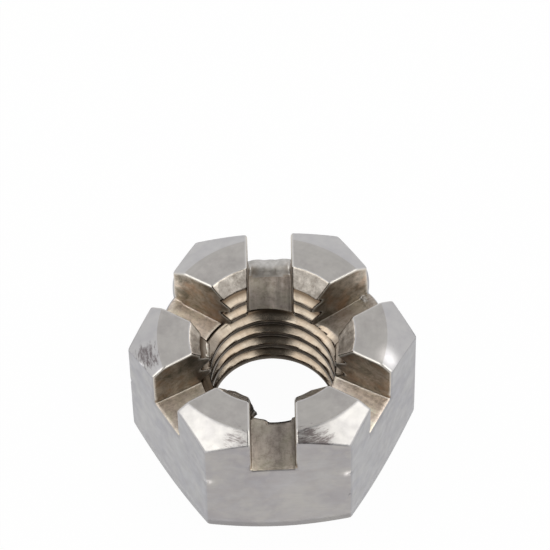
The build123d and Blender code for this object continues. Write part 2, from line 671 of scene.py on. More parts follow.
def lifted(p, farthest=1.2, steps=60, upwards=0.8):
    """Points that a burr covers, moved out of the bare metal, and upwards, to its farther side."""
    p = p.copy()
    covered = np.flatnonzero(burrs(p).min(0) < 0)
    way = direction_of(bare_nut, p[covered])
    way = way / np.linalg.norm(way, axis=1, keepdims=True) + np.array([0, 0, upwards])
    way /= np.linalg.norm(way, axis=1, keepdims=True)
    height = np.linspace(0, farthest, steps)[:, None, None]
    inside = nut(p[covered] + way * height) < 0
    last = steps - 1 - np.argmax(inside[::-1], axis=0)
    p[covered] += way * np.where(inside.any(0), height[last, 0, 0], 0)[:, None]
    print(len(covered), "points under burrs")
    return p


ROUNDS_BARE, ROUNDS_WHOLE = 5, 9
points = settle(lifted(settle(points, bare_nut, ROUNDS_BARE)), nut, ROUNDS_WHOLE)
across_cell = points[quads[:, 2]] - points[quads[:, 0]], points[quads[:, 3]] - points[quads[:, 1]]
inward = (np.cross(*across_cell) * unit_outward(points[quads].mean(1))).sum(-1) < 0
quads[inward] = quads[inward][:, ::-1]
left_over = float(np.abs(nut(points)).max().round(5))
print("largest distance left:", left_over, "mm;", int(inward.sum()), "cells turned")

# %% [markdown]
# ## Which tool left each cell
# The finish follows the tool: rolled bar flats, turned faces, turned chamfers, sawn walls and
# floors, the tapped thread, the countersink's cone, and the torn metal of the burrs. A cell
# belongs to whichever distance is the largest at its centre.

# %% Sort the cells by their finish
FINISHES = ["flat", "face", "chamfer", "wall", "floor", "thread", "sink", "torn"]
FLAT_SIDE, FACE, CHAMFER, WALL, FLOOR, THREAD, SINK, TORN = range(len(FINISHES))
# How level a face and a floor are at least, and how far a finish reaches past its own surface
FACE_LEVEL, FLOOR_LEVEL = 0.97, 0.7
MARGIN, WIDE_MARGIN = 0.03, 0.14
corners = points[quads]
centres = corners.mean(1)
level_facing = np.abs(unit_outward(centres)[:, 2])
family = np.argmax([bar(centres), turned(centres), sawn(centres), tapped(centres)], axis=0)
finish = np.select(
    [family == 0, family == 1, family == 2],
    [FLAT_SIDE, np.where(level_facing > FACE_LEVEL, FACE, CHAMFER),
     np.where(level_facing > FLOOR_LEVEL, FLOOR, WALL)],
    np.where(np.max(cones(centres), axis=0) > -MARGIN, SINK, THREAD),
)
lightness = np.array([burr[-1] for burr in BURRS])[burrs(centres).argmin(0)]
torn_reach = np.where(lightness > 1, WIDE_MARGIN, MARGIN)
torn = (burrs(centres).min(0) < torn_reach) & (lightness > 0)
finish[torn] = TORN


def with_finish(*finishes):
    """Which cells have one of these finishes, as a column beside their corners."""
    return np.isin(finish, finishes)[:, None]


for number, name in enumerate(FINISHES):
    print(f"{name:8s}", int((finish == number).sum()), "cells")

# %% [markdown]
# ## Where the patterns run
# Sawn and turned steel has a grain. So each cell carries its own pattern coordinates, in
# millimetres along and across the tool's path, with a jump in the third number from one flat or
# slot to the next. Each corner of a cell has its own value, so that two tools' patterns can meet
# at a sharp line. The angle round the axis starts in the middle of the front slot, so at the crown
# its seam falls in thin air.

# %% Pattern coordinates of the turned and tapped surfaces
SEAM = math.pi / 2 - SLOT_TURN
TURN = 2 * math.pi


def angle_from_seam(p):
    """Angle round the axis, counted from the middle of the front slot."""
    return (np.arctan2(p[..., 1], p[..., 0]) + SEAM) % TURN


def unwrapped(corner_angle, centre_angle):
    """A corner's angle brought to within half a turn of its cell's angle."""
    return centre_angle + (corner_angle - centre_angle + math.pi) % TURN - math.pi


# The pattern's length round the axis is the angle times one of these radii
TURNED_RADIUS, THREAD_RADIUS = 8, 4.6
# The groove's root is painted dark as shade, but not where a floor's broken edge has just opened
# it: the middle and half of each such range of angles in degrees, then of its range of heights
UNSHADED_ROOTS = [(29, 21, 7.6, 0.34), (148, 21, 7.1, 0.75)]
UNSHADED_RADIUS = 4.45
spin = unwrapped(angle_from_seam(corners), angle_from_seam(centres)[:, None])
radius = np.hypot(corners[..., 0], corners[..., 1])
height = corners[..., 2]
degrees = np.degrees(np.arctan2(corners[..., 1], corners[..., 0]))
unshaded = np.zeros(height.shape, bool)
for angle, half_angle, level, half_height in UNSHADED_ROOTS:
    unshaded |= (np.abs(degrees - angle) < half_angle) & (np.abs(height - level) < half_height)
reach = np.where(unshaded, np.minimum(radius, UNSHADED_RADIUS), radius)
turned_marks = np.stack([radius, spin * TURNED_RADIUS, height], axis=-1)
thread_marks = np.stack([reach, spin * THREAD_RADIUS, height], axis=-1)
print(int(unshaded.sum()), "corners of cells in freshly opened thread")

# %% Pattern coordinates of the flats and slots
JUMP, WALL_JUMP = 20.0, 5
side = np.argmax(centres[:, :2] @ NORMAL.T, axis=1)
past = corners[..., 0] * NORMAL[side, 1][:, None] - corners[..., 1] * NORMAL[side, 0][:, None]
every_along, every_across, _ = slot_places(corners)
centre_along, centre_across, _ = slot_places(centres)
nearest = np.argmin(np.abs(centre_across), axis=1)
along = np.take_along_axis(every_along, nearest[:, None, None], axis=2)[..., 0]
across = np.take_along_axis(every_across, nearest[:, None, None], axis=2)[..., 0]
backwards = np.take_along_axis(centre_along, nearest[:, None], axis=1)[:, 0] < 0
half_slot = nearest + 3 * backwards
side_jump = np.broadcast_to(side[:, None] * JUMP, past.shape)
slot_jump = np.broadcast_to(half_slot[:, None] * JUMP, past.shape)
flat_marks = np.stack([past, height, side_jump], axis=-1)
wall_marks = np.stack([along, height, slot_jump + WALL_JUMP * np.sign(across)], axis=-1)
floor_marks = np.stack([along, across, slot_jump], axis=-1)
layouts = np.stack([flat_marks, turned_marks, turned_marks, wall_marks, floor_marks, thread_marks,
                    turned_marks, corners])
marks = layouts[finish, np.arange(len(quads))]
print("pattern coordinates for", marks.shape[0] * marks.shape[1], "corners of cells")

# %% [markdown]
# ## How light each slot is
# The six slots' floors and walls are painted lighter or darker one slot at a time: this painted
# light and shade stands in for how each slot's saw grain reflects the light, and a floor is painted
# darker by the hole. A number on each corner of a cell says how light it is. The lists run over the
# half slots. The first wall is the one on the left as seen from the axis.

# %% Shade of floors and walls
# Painted light and shade of each floor at the hole and at the flat, and of both walls
FLOOR_PAINTED_AT_HOLE = np.array([0.92, 2.95, 2.15, 1.1, 3.5, 1.22])
FLOOR_PAINTED_AT_FLAT = np.array([1.8, 3.3, 2.35, 1.5, 3.65, 1.5])
LEFT_WALL_PAINTED = np.array([1.3, 1.25, 1.12, 1.4, 0.85, 1.38])
RIGHT_WALL_PAINTED = np.array([1.3, 1.5, 1.1, 1.4, 0.85, 1.42])
# Each wall's painted shade rises over two ranges along the slot, darker by the hole and lighter at
# its rounded lip: by these shares, between these lengths
WALL_PAINTED_RISES = [((0.67, 1.1), (4.5, 7.5)), ((1.0, 1.35), (7.5, 8.4))]
FLOOR_PAINTED_RISE = (4.5, 8.2)
# Painted light and shade in streaks along the front and back floors, lifting a wall's shade and
# darkening lines by the walls' feet: half slot, place right of its middle, width, strength
PAINTED_STREAKS = [
    (3, -1.4, 0.5, 0.75), (3, -0.6, 0.5, 0.15), (3, 0.35, 0.3, -0.15), (3, 1.1, 0.2, 0.15),
    (3, 1.42, 0.12, -0.3), (0, 0.2, 0.2, 0.22), (0, 0.55, 0.2, -0.18), (0, 1.33, 0.18, -0.3),
    (0, -0.5, 0.35, -0.12),
]
way_out = np.abs(along)
inner, outer = (values[half_slot][:, None] for values in (FLOOR_PAINTED_AT_HOLE, FLOOR_PAINTED_AT_FLAT))
painted_floor = mix(inner, outer, ease(way_out, *FLOOR_PAINTED_RISE))
on_left = across * np.where(half_slot < 3, 1, -1)[:, None] > 0
painted_wall = np.where(on_left, LEFT_WALL_PAINTED[half_slot][:, None], RIGHT_WALL_PAINTED[half_slot][:, None])
for shares, ends in WALL_PAINTED_RISES:
    painted_wall = painted_wall * mix(*shares, ease(way_out, *ends))
painted_streaking = np.zeros(along.shape)
for which, place, width, strength in PAINTED_STREAKS:
    bell = np.exp(-(((-across - place) / width) ** 2))
    painted_streaking += (half_slot == which)[:, None] * strength * bell
shade = np.ones(along.shape)
shade = np.where(with_finish(FLOOR), painted_floor, shade)
shade = np.where(with_finish(WALL), painted_wall, shade)
shade = shade * (1 + np.where(with_finish(FLOOR), painted_streaking, 0))
print("floors and walls from", shade.min().round(2), "to", shade.max().round(2))

# %% [markdown]
# ## Painted highlights, stains and scuffs
# The bright spots are painted highlights: glints where chamfers, dents and the flat under the front
# slot catch the light, and light where a slot cuts the thread. Dragging the nut scuffs its chamfers.
# Each mark is a soft round spot: its place, its radius, and how strong it is. Painting them into a
# picture would need a UV map, and these few numbers don't.

# %% Spots
# Painted highlights on chamfers, dents and the front flat, and painted light where a slot cuts the
# thread
PAINTED_HIGHLIGHTS = [
    (7.65, -2.1, 11.6, 0.55, 1.0), (7.95, -2.5, 11.4, 0.5, 0.9), (-8.9, -1.5, 11.0, 0.12, 1.2),
    (3.9, 2.2, 7.0, 0.9, 0.5), (-7.6, -2.6, 11.5, 0.3, 0.5), (-4.75, -8.45, 6.8, 0.22, 1.4),
    (4.7, -8.45, 7.1, 0.24, 1.8), (0, -8.5, 6.2, 1.6, 0.06),
]
# Stains in the slots, darker or lighter than the metal around
STAINS = [
    (-4.8, 4.8, 9.3, 1.1, -0.24), (-6.9, 4.9, 8.0, 0.55, -0.3), (-6.3, 5.2, 9.0, 0.8, 0.12),
    (1.1, -6.6, 7.75, 1.2, -0.16), (-0.9, -6.8, 7.75, 0.9, 0.12), (0.0, -8.2, 7.9, 0.5, -0.12),
    (0.6, 5.6, 7.7, 0.7, -0.15), (-0.6, 6.6, 7.8, 0.8, 0.1),
]
# Dark scuffs on the crown's chamfers
SCUFFS = [
    (-8.65, -0.85, 11.2, 0.9, 1.0), (-8.2, -1.6, 11.4, 0.6, 0.6), (2.0, -8.2, 11.4, 0.8, 1.0),
    (3.1, -8.2, 11.2, 0.9, 0.7), (1.5, -8.1, 11.5, 0.5, 0.8), (2.1, -8.45, 11.3, 0.3, 0.4),
    (2.8, -8.47, 11.25, 0.3, 0.4), (3.5, -8.48, 11.15, 0.3, 0.4), (-2.6, -8.0, 11.5, 0.8, 0.66),
    (-3.4, -8.3, 11.1, 0.8, 0.4), (8.4, -1.1, 11.3, 0.6, 0.2),
]
# The countersink is brighter towards both sides, from this distance on
SINK_AT_LEFT, SINK_AT_RIGHT, SINK_SIDE = 1.72, 1.3, 3.5
RIGHT_FLAT, RIGHT_FLAT_SHADE = 4, 0.955
MOST_SCUFFED = 0.95


def spots(p, places):
    """Soft round spots: for each, its strength times a bell of its radius, all added up."""
    total = np.zeros(p.shape[:-1])
    for x, y, z, size, strength in places:
        away = ((p - np.array([x, y, z])) ** 2).sum(-1)
        total += strength * np.exp(-away / size**2)
    return total


takes_highlights = with_finish(FLAT_SIDE, FACE, CHAMFER, THREAD)
shade = shade + np.where(takes_highlights, spots(corners, PAINTED_HIGHLIGHTS), 0)
shade = np.where(with_finish(SINK) & (corners[..., 0] < -SINK_SIDE), SINK_AT_LEFT, shade)
shade = np.where(with_finish(SINK) & (corners[..., 0] > SINK_SIDE), SINK_AT_RIGHT, shade)
shade = shade * (1 + np.where(with_finish(WALL, FLOOR), spots(corners, STAINS), 0))
shade = np.where(with_finish(FLAT_SIDE) & (side == RIGHT_FLAT)[:, None], RIGHT_FLAT_SHADE, shade)
shade[torn] = lightness[torn, None]
scuffed = np.clip(spots(corners, SCUFFS), 0, MOST_SCUFFED)
scuffed = np.where(with_finish(FACE, CHAMFER), scuffed, 0)
print(int((scuffed > 0.5).sum()), "corners of cells are well scuffed")

# %% [markdown]
# ## Worn edges and painted highlights
# Edges that stick out rub bright first, and their pale metal is also a painted highlight along them.
# An edge is where two of the distances are nearly equal, so the formula finds all of them. The
# corner between a sawn wall and its floor gets a painted highlight line too, more in some slots
# than in others.

# %% Worn edges with painted highlights, and painted corner highlights
# Painted highlight line in the corner between each floor and its wall, over the half slots
PAINTED_CORNER_HIGHLIGHT = np.array([0.1, 0.25, 0.45, 0.1, 0.9, 0.15])
CORNER_OFF, CORNER_REACH = 0.03, 0.14
WEAR_AND_HIGHLIGHT_FROM, WEAR_AND_HIGHLIGHT_FULL = SLOT_BOTTOM + 0.55, SLOT_BOTTOM + 0.9
wear_and_highlight = np.clip(1 - np.abs(unsawn(points) - sawn(points)) / edge_width(points), 0, 1)
wear_and_highlight *= ease(points[:, 2], WEAR_AND_HIGHLIGHT_FROM, WEAR_AND_HIGHLIGHT_FULL)
point_along, point_across, point_floor = slot_places(points)
mine = np.argmin(np.abs(point_across), axis=1)[:, None]
to_wall, over_floor, which_end = (
    np.take_along_axis(x, mine, axis=1)[:, 0]
    for x in (SLOT_HALF - np.abs(point_across), points[:, 2:3] - point_floor, point_along)
)
corner_highlight = np.clip(1 - np.abs(to_wall - over_floor - CORNER_OFF) / CORNER_REACH, 0, 1)
corner_highlight = corner_highlight * (np.abs(sawn(points)) < MARGIN)
wear_and_highlight = np.maximum(wear_and_highlight, corner_highlight * PAINTED_CORNER_HIGHLIGHT[mine[:, 0] + 3 * (which_end < 0)])
print(int((wear_and_highlight > 0.5).sum()), "points on worn edges")

# %% [markdown]
# ## The mesh
# The points become one mesh in metres. Its normals come from the formula and not from the cells,
# so polished metal reflects without facets. The worked-out numbers ride along as attributes, which
# the materials read.

# %% Make the mesh
MM = 0.001
mesh = bpy.data.meshes.new("castle_nut_skin")
mesh.from_pydata((points * MM).tolist(), [], quads.tolist())
print("mended:", mesh.validate(verbose=True))
mesh.polygons.foreach_set("use_smooth", np.ones(len(mesh.polygons), bool))
mesh.polygons.foreach_set("material_index", finish.astype(np.int32))
mesh.normals_split_custom_set_from_vertices(unit_outward(points).tolist())


def carry(name, kind, domain, values):
    """Writes an array into the mesh as an attribute of its points or of its cells' corners."""
    field = "vector" if kind == "FLOAT_VECTOR" else "value"
    data = mesh.attributes.new(name, kind, domain).data
    data.foreach_set(field, values.astype(np.float32).ravel())


carry("marks", "FLOAT_VECTOR", "CORNER", marks)
carry("shade", "FLOAT", "CORNER", shade)
carry("scuffed", "FLOAT", "CORNER", scuffed)
carry("wear_and_highlight", "FLOAT", "POINT", wear_and_highlight)
skin = bpy.data.objects.new("castle_nut_skin", mesh)
bpy.context.scene.collection.objects.link(skin)
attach(skin, "root")
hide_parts("castle_nut")
edges = np.sort(np.stack([quads, np.roll(quads, -1, axis=1)], axis=-1).reshape(-1, 2), axis=1)
_, uses = np.unique(edges, axis=0, return_counts=True)
print("triangles:", 2 * len(quads), "open or crowded edges:", int((uses != 2).sum()))

# %% [markdown]
# ## Small tools for building a material
# A material is a graph of nodes, in which patterns feed colours and colours feed the shader. It
# could be wired by hand in the shader editor. Written as short functions that each add one node
# and give back its output, a finish reads like a recipe, and it comes out the same in every run.
# The numbers after a noise are its scale, detail, roughness and swirl. Those after a coat say
# where its pattern begins and ends to count, and the coat's least and most share.


# %% Nodes
def feed(tree, value, socket):
    """Joins another node's output to a socket, or sets the socket's own value."""
    if isinstance(value, bpy.types.NodeSocket):
        tree.links.new(value, socket)
    else:
        socket.default_value = value


def node(tree, kind, inputs, output=0, **settings):
    """Adds a node, sets it up, feeds its inputs by name or number, and returns one output."""
    made = tree.nodes.new(kind)
    for name, value in settings.items():
        setattr(made, name, value)
    for name, value in inputs.items():
        feed(tree, value, made.inputs[name])
    return made.outputs[output]


def attribute(tree, name, output="Fac"):
    """Reads one of the mesh's attributes."""
    return node(tree, "ShaderNodeAttribute", {}, output, attribute_name=name)


print("kinds of shader node:", sum(kind.startswith("ShaderNode") for kind in dir(bpy.types)))


# %% Patterns and colours
def stretched(tree, vector, scale, shift=(0, 0, 0)):
    """Pattern coordinates multiplied by a scale and moved."""
    return node(tree, "ShaderNodeMapping", {"Vector": vector, "Scale": scale, "Location": shift})


def noise(tree, vector, scale=1.0, detail=3.0, rough=0.5, swirl=0.0):
    """Cloudy noise from 0 to 1, about one cloud in each unit of length divided by the scale."""
    inputs = {"Vector": vector, "Scale": scale, "Detail": detail, "Roughness": rough}
    return node(tree, "ShaderNodeTexNoise", {**inputs, "Distortion": swirl})


def remap(tree, value, low, high, to_low=0.0, to_high=1.0, **settings):
    """Straight line from low..high to to_low..to_high, held at both ends."""
    inputs = {"Value": value, "From Min": low, "From Max": high}
    return node(tree, "ShaderNodeMapRange", {**inputs, "To Min": to_low, "To Max": to_high},
                **settings)


def blend(tree, share, first, second, mode="MIX"):
    """Colours mixed by a share from 0 to 1."""
    inputs = {0: share, 6: first, 7: second}
    return node(tree, "ShaderNodeMix", inputs, output=2, data_type="RGBA", blend_type=mode)


def over(tree, base, coat, pattern, low, high, least=0.0, most=1.0):
    """A coat over a base: its share goes from least to most as the pattern goes low to high."""
    return blend(tree, remap(tree, pattern, low, high, least, most), base, coat)


def sums(tree, operation, *values):
    """One arithmetic step on one to three numbers."""
    return node(tree, "ShaderNodeMath", dict(enumerate(values)), operation=operation)


def times(tree, a, b):
    """The product of two numbers."""
    return sums(tree, "MULTIPLY", a, b)


def rgb(*levels):
    """A colour as a shader socket takes it, with its opacity."""
    return (*levels, 1.0)


print("white is", rgb(1, 1, 1))

# %% [markdown]
# ## Bare steel
# Every finish here is the same steel, so one function sets up what they share: a metallic shader,
# the shade that the cell carries, which is partly painted light, the scuffs, and the clean metal of
# worn edges, which is also a painted highlight. Dragging leaves scratches, which run together where
# it was hard. So a scratch shows where its noise is above a limit, and the limit falls as the scuff
# gets stronger. Only the colours and patterns differ from tool to tool.

# %% What all the finishes share
# Clean metal of worn edges, painted lighter as a highlight
CLEAN_AND_HIGHLIGHT = rgb(0.70, 0.67, 0.62)
SCUFF = rgb(0.128, 0.105, 0.107)
SCRATCH_STRETCH = (4.0, 1.0, 4.0)
SCRATCH_EDGE = 0.6
SCUFF_COVERS = 0.85
WEAR_AND_HIGHLIGHT_SPAN = (0.1, 0.9)
NOISE_SPAN = (0.3, 0.7)


def scratched(tree, base, grain):
    """Scratches over a base, where the stretched noise is above 1 less the attribute scuffed."""
    pattern = noise(tree, stretched(tree, grain, SCRATCH_STRETCH), 1.5, 6, 0.75, 0.15)
    scratches = remap(tree, pattern, 0.37, 0.63)
    limit = sums(tree, "SUBTRACT", 1.0, attribute(tree, "scuffed"))
    full = sums(tree, "ADD", limit, SCRATCH_EDGE)
    return over(tree, base, SCUFF, scratches, limit, full, 0.0, SCUFF_COVERS)


def steel(name, colour, roughness, relief, wear_and_highlight=0.0):
    """Bare steel: metallic, with its colour, roughness and relief from patterns.

    colour is a function of the tree, the place in millimetres and the tool's marks. roughness is
    the scale and detail of its clouds, its least and its most. relief is how its clouds are
    stretched along the marks, or None for clouds that don't follow them, their scale and detail,
    and their depth in millimetres. wear_and_highlight is how far broken edges turn to clean metal,
    which is also a painted highlight.
    """
    material = bpy.data.materials.new(name)
    material.use_nodes = True
    tree = material.node_tree
    shader = tree.nodes["Principled BSDF"]
    place = stretched(tree, node(tree, "ShaderNodeTexCoord", {}, "Object"), (1 / MM,) * 3)
    grain = attribute(tree, "marks", "Vector")
    inputs = {0: colour(tree, place, grain), "Scale": attribute(tree, "shade")}
    shaded = node(tree, "ShaderNodeVectorMath", inputs, operation="SCALE")
    marked = scratched(tree, shaded, grain)
    rubbed = over(tree, marked, CLEAN_AND_HIGHLIGHT, attribute(tree, "wear_and_highlight"), *WEAR_AND_HIGHLIGHT_SPAN, 0.0, wear_and_highlight)
    feed(tree, rubbed, shader.inputs["Base Color"])
    scale, detail, least, most = roughness
    clouds = noise(tree, place, scale, detail)
    feed(tree, remap(tree, clouds, *NOISE_SPAN, least, most), shader.inputs["Roughness"])
    stretch, scale, detail, depth = relief
    bumps = noise(tree, stretched(tree, grain, stretch) if stretch else place, scale, detail)
    inputs = {"Height": bumps, "Strength": 1.0, "Distance": depth * MM}
    feed(tree, node(tree, "ShaderNodeBump", inputs), shader.inputs["Normal"])
    shader.inputs["Metallic"].default_value = 1.0
    mesh.materials.append(material)
    print(f"{name:14s}", len(tree.nodes), "nodes")


print("scratches cover up to", SCUFF_COVERS, "of the steel")

# %% [markdown]
# ## The bar's flats
# The six sides keep the drawn bar's skin. It is grey and a little blue, and it reflects as softly
# as satin. Wide clouds lie under smears, pale stains and fine lines, each a noise of its own
# scale. The front flat is a little warmer than the others. The third number of the pattern
# coordinates says which flat a cell is on, so no second material is needed.

# %% Finish of the bar's flats
FRONT_FLAT = 3
FLAT_DARK, FLAT_LIGHT = rgb(0.355, 0.351, 0.379), rgb(0.434, 0.434, 0.446)
FLAT_SMEAR, FLAT_STAIN = rgb(0.355, 0.33, 0.325), rgb(0.45, 0.444, 0.438)
FLAT_LINES, WARMTH = rgb(0.30, 0.29, 0.29), rgb(1.02, 0.985, 0.945)


def flat_colour(tree, place, grain):
    """Clouds from dark to light, then smears, stains, the front flat's warmth and fine lines."""
    cloud = noise(tree, place, 0.3, 3, 0.5)
    smear = noise(tree, stretched(tree, grain, (0.8, 1.1, 1)), 0.9, 5, 0.6, 0.8)
    stain = noise(tree, stretched(tree, place, (1, 1, 1), (5, 2, 9)), 0.7, 4, 0.6, 0.3)
    lines = noise(tree, stretched(tree, grain, (0.6, 3.0, 1)), 2.0, 3, 0.5)
    base = over(tree, FLAT_DARK, FLAT_LIGHT, cloud, 0.34, 0.66)
    smeared = over(tree, base, FLAT_SMEAR, smear, 0.35, 0.75, 0, 0.45)
    stained = over(tree, smeared, FLAT_STAIN, stain, 0.44, 0.66, 0, 0.75)
    which = node(tree, "ShaderNodeSeparateXYZ", {"Vector": grain}, 2)
    in_front = sums(tree, "COMPARE", which, FRONT_FLAT * JUMP, 1.0)
    warmed = blend(tree, in_front, stained, WARMTH, "MULTIPLY")
    return over(tree, warmed, FLAT_LINES, lines, 0.5, 0.75, 0, 0.2)


steel("bar_flats", flat_colour, (1.5, 4, 0.3, 0.42), (None, 2.5, 4, 0.004))

# %% [markdown]
# ## The faces and chamfers
# The lathe leaves fine rings on the two faces. A noise that is stretched along the turning draws
# them, and a worn tool's mottle and a few paler patches lie under them. The chamfers were turned
# last. They are smoother and brighter, with hardly any pattern.

# %% Finish of the faces and chamfers
FACE_DARK, FACE_LIGHT = rgb(0.358, 0.339, 0.33), rgb(0.452, 0.431, 0.415)
FACE_PALE, FACE_RINGS = rgb(0.445, 0.43, 0.41), rgb(0.375, 0.362, 0.345)
CHAMFER_DARK, CHAMFER_LIGHT = rgb(0.445, 0.435, 0.443), rgb(0.51, 0.50, 0.495)


def face_colour(tree, place, grain):
    """Mottle from dark to light, then pale patches and the lathe's rings."""
    mottle = noise(tree, place, 0.9, 5, 0.65)
    pale = noise(tree, stretched(tree, place, (1, 1, 1), (2, 8, 4)), 0.55, 4, 0.6, 0.4)
    rings = noise(tree, stretched(tree, grain, (5, 0.25, 0)), 1, 3)
    base = over(tree, FACE_DARK, FACE_LIGHT, mottle, 0.36, 0.64)
    patched = over(tree, base, FACE_PALE, pale, 0.44, 0.62, 0, 0.55)
    return over(tree, patched, FACE_RINGS, rings, 0.35, 0.7, 0, 0.4)


def chamfer_colour(tree, place, grain):
    """Faint mottle."""
    mottle = noise(tree, place, 0.9, 5, 0.6)
    return over(tree, CHAMFER_DARK, CHAMFER_LIGHT, mottle, 0.35, 0.7)


steel("turned_faces", face_colour, (4, 3, 0.36, 0.46), (None, 3, 5, 0.004), 0.5)
steel("chamfers", chamfer_colour, (2, 4, 0.28, 0.38), (None, 2, 5, 0.005), 0.5)

# %% [markdown]
# ## The sawn slots
# A saw leaves dull, brownish metal with a grain along its path. The walls hold rust and dark
# specks from cutting oil that dried there. The floors are combed by the teeth, so several noises
# are stretched along the slot, from wide bands to fine scores, with blotches of stain over them.

# %% Finish of the walls
WALL_DARK, WALL_LIGHT = rgb(0.12, 0.105, 0.08), rgb(0.43, 0.38, 0.325)
WALL_RUST, WALL_SPECK = rgb(0.34, 0.225, 0.15), rgb(0.15, 0.125, 0.095)


def wall_colour(tree, place, grain):
    """Clouds from dark to light, then rust and dark specks."""
    cloud = noise(tree, place, 0.8, 6, 0.7, 0.4)
    rust = noise(tree, stretched(tree, place, (1, 1, 1), (3, 7, 0)), 0.6, 4, 0.6)
    speck = noise(tree, place, 3, 5, 0.7)
    base = over(tree, WALL_DARK, WALL_LIGHT, cloud, 0.36, 0.64)
    rusty = over(tree, base, WALL_RUST, rust, 0.48, 0.64, 0, 0.65)
    return over(tree, rusty, WALL_SPECK, speck, 0.5, 0.72, 0, 0.65)


steel("sawn_walls", wall_colour, (2, 3, 0.42, 0.58), ((1, 1.4, 1), 2, 5, 0.014), 0.9)

# %% Finish of the floors
FLOOR_DARK, FLOOR_LIGHT = rgb(0.175, 0.15, 0.13), rgb(0.315, 0.28, 0.252)
FLOOR_BAND, FLOOR_SCORE = rgb(0.165, 0.14, 0.118), rgb(0.16, 0.137, 0.118)
FLOOR_BLOTCH, FLOOR_TINT = rgb(0.14, 0.118, 0.10), rgb(0.27, 0.26, 0.20)
FLOOR_SPECK = rgb(0.42, 0.38, 0.34)


def floor_colour(tree, place, grain):
    """Lines from dark to light, then bands, scores, blotches, a green tint and pale specks."""
    lines = noise(tree, stretched(tree, grain, (0.3, 2.2, 1)), 1, 5, 0.6, 0.3)
    bands = noise(tree, stretched(tree, grain, (0.06, 0.75, 1)), 1, 2)
    scores = noise(tree, stretched(tree, grain, (0.35, 4.5, 1)), 1, 3, 0.6)
    blotch = noise(tree, place, 1.3, 4, 0.6, 0.5)
    tint = noise(tree, place, 0.8, 3, 0.5)
    speck = noise(tree, place, 2.6, 5, 0.75)
    lined = over(tree, FLOOR_DARK, FLOOR_LIGHT, lines, 0.4, 0.6)
    banded = over(tree, lined, FLOOR_BAND, bands, 0.42, 0.58, 0.45, 0)
    scored = over(tree, banded, FLOOR_SCORE, scores, 0.42, 0.58, 0.4, 0)
    blotched = over(tree, scored, FLOOR_BLOTCH, blotch, 0.36, 0.6, 0.5, 0)
    tinted = over(tree, blotched, FLOOR_TINT, tint, 0.45, 0.65, 0, 0.4)
    return over(tree, tinted, FLOOR_SPECK, speck, 0.45, 0.6, 0.3, 0)


steel("sawn_floors", floor_colour, (2, 3, 0.45, 0.6), ((0.7, 4, 1), 1, 4, 0.015), 0.8)

# %% [markdown]
# ## The tapped thread
# A tap burnishes the flanks, so they shine more than anything else here. The groove's root is
# painted dark as shade, and the hole is painted darker towards the foot. The root is known from
# the distance to the axis, which is the first number of the thread's pattern coordinates. The
# tap's teeth also leave chatter marks across the turns.

# %% Finish of the thread
THREAD_DARK, THREAD_LIGHT = rgb(0.25, 0.21, 0.172), rgb(0.37, 0.322, 0.27)
THREAD_RUST, THREAD_CHATTER = rgb(0.30, 0.22, 0.155), rgb(0.20, 0.163, 0.13)
# Painted shade in the groove's root and towards the foot
THREAD_PAINTED_SHADE = rgb(0.09, 0.066, 0.047)


def thread_colour(tree, place, grain):
    """Mottle from dark to light, then rust, chatter marks, and painted shade where it is deep or
    low.
    """
    depth = node(tree, "ShaderNodeSeparateXYZ", {"Vector": grain}, 0)
    level = node(tree, "ShaderNodeSeparateXYZ", {"Vector": grain}, 2)
    root_shade, foot_shade = remap(tree, depth, 4.5, 4.8), remap(tree, level, 0.4, 1.7, 0.45, 0)
    rust = noise(tree, stretched(tree, grain, (1, 0.6, 1.5)), 0.7, 4, 0.6)
    mottle = noise(tree, stretched(tree, grain, (1.5, 1, 2)), 1.2, 5, 0.6)
    chatter = noise(tree, stretched(tree, grain, (0.6, 5, 0.8)), 1.3, 3, 0.6)
    base = over(tree, THREAD_DARK, THREAD_LIGHT, mottle, 0.3, 0.7)
    rusty = over(tree, base, THREAD_RUST, rust, 0.48, 0.62, 0, 0.4)
    scored = over(tree, rusty, THREAD_CHATTER, chatter, 0.5, 0.72, 0, 0.4)
    return blend(tree, sums(tree, "MAXIMUM", root_shade, foot_shade), scored, THREAD_PAINTED_SHADE)


steel("tapped_thread", thread_colour, (2, 4, 0.14, 0.24), ((3, 1, 3), 1.5, 4, 0.008))

# %% [markdown]
# ## The countersink and the torn metal
# The countersink's cutter chattered, so its cone is covered with bright specks. Torn metal at the
# burrs has no grain at all: it is pale, dull and uneven.

# %% Finish of the countersink and of the burrs
SINK_DARK, SINK_BRIGHT = rgb(0.31, 0.275, 0.24), rgb(0.65, 0.605, 0.55)
SINK_CLOUD = rgb(0.36, 0.325, 0.29)
TORN_DARK, TORN_LIGHT = rgb(0.40, 0.385, 0.37), rgb(0.58, 0.565, 0.55)


def sink_colour(tree, place, grain):
    """Specks from dark to bright under wide clouds."""
    speck = noise(tree, place, 2.0, 5, 0.75)
    cloud = noise(tree, place, 0.7, 3, 0.5)
    base = over(tree, SINK_DARK, SINK_BRIGHT, speck, 0.38, 0.62)
    return over(tree, base, SINK_CLOUD, cloud, 0.42, 0.58, 0.4, 0)


def torn_colour(tree, place, grain):
    """Mottle from dark to light."""
    mottle = noise(tree, place, 2.2, 4, 0.6)
    return over(tree, TORN_DARK, TORN_LIGHT, mottle, 0.35, 0.65)


steel("countersink", sink_colour, (3, 3, 0.3, 0.45), (None, 4, 5, 0.012))
steel("torn_edges", torn_colour, (3, 3, 0.4, 0.55), (None, 3, 4, 0.02))

# %% [markdown]
# ## The camera
# The photo looks down at the nut from in front, with a long lens. Moving a camera by eye until it
# looks right takes long and ends a few pixels off. So a pinhole camera was fitted to the nut's
# corners and circles, and these are its numbers: a focal length in pixels, three angles in
# radians, and where the axis lies in front of the lens, in millimetres.

